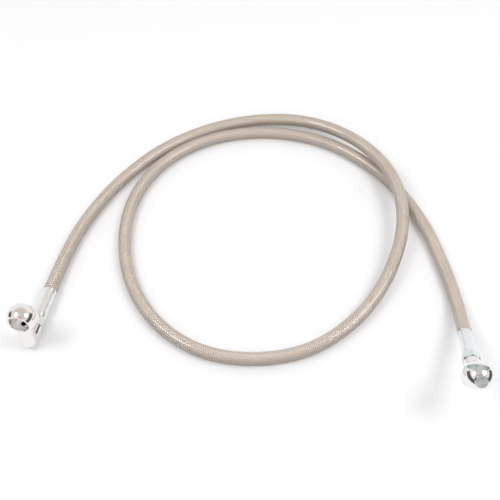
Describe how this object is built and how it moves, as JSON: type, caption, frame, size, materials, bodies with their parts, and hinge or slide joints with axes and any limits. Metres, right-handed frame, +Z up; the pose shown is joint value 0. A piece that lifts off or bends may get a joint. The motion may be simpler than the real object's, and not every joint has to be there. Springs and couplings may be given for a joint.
{
  "type": "braided hydraulic line",
  "caption": "Braided steel hose under a clear jacket, lying in one loop, with a crimped ferrule and a swivelling banjo eye on each end.",
  "frame": {"origin": "under the middle of the two end fittings, on the surface the line lies on", "axes": "+Z up, +X from the left end to the right end, +Y from the ends towards the far side of the loop"},
  "size_m": [0.2371, 0.2021, 0.0411],
  "materials": {
    "ptfe": "smooth, waxy",
    "braid_wire": "woven bright wire",
    "clear_cover": "clear, glossy",
    "zinc": "zinc plated, satin",
    "bright_plate": "polished",
    "bright_zinc": "bright zinc plated",
    "seal_rubber": "matte",
    "spring_wire": "bright wire"
  },
  "bodies": {
    "hose": {"hose_liner": "ptfe", "wire_braid": "braid_wire", "clear_jacket": "clear_cover", "left_ferrule": "zinc", "right_ferrule": "zinc", "left_insert": "zinc", "right_insert": "zinc", "left_swivel_seal": "seal_rubber", "right_swivel_seal": "seal_rubber"},
    "left_head": {"left_banjo_head": "bright_plate", "left_swivel_clip": "spring_wire"},
    "right_head": {"right_banjo_head": "bright_zinc", "right_swivel_clip": "spring_wire", "right_passage_plug": "zinc"}
  },
  "joints": [
    {"name": "left_swivel", "type": "hinge", "parent": "hose", "child": "left_head", "pos_m": [-0.1096, 0.01001, 0.00503], "axis": [-0.196, -0.9802, 0.028], "continuous": true},
    {"name": "right_swivel", "type": "hinge", "parent": "hose", "child": "right_head", "pos_m": [0.11154, -0.01889, 0.02378], "axis": [-0.0947, -0.8997, 0.4262], "continuous": true}
  ]
}
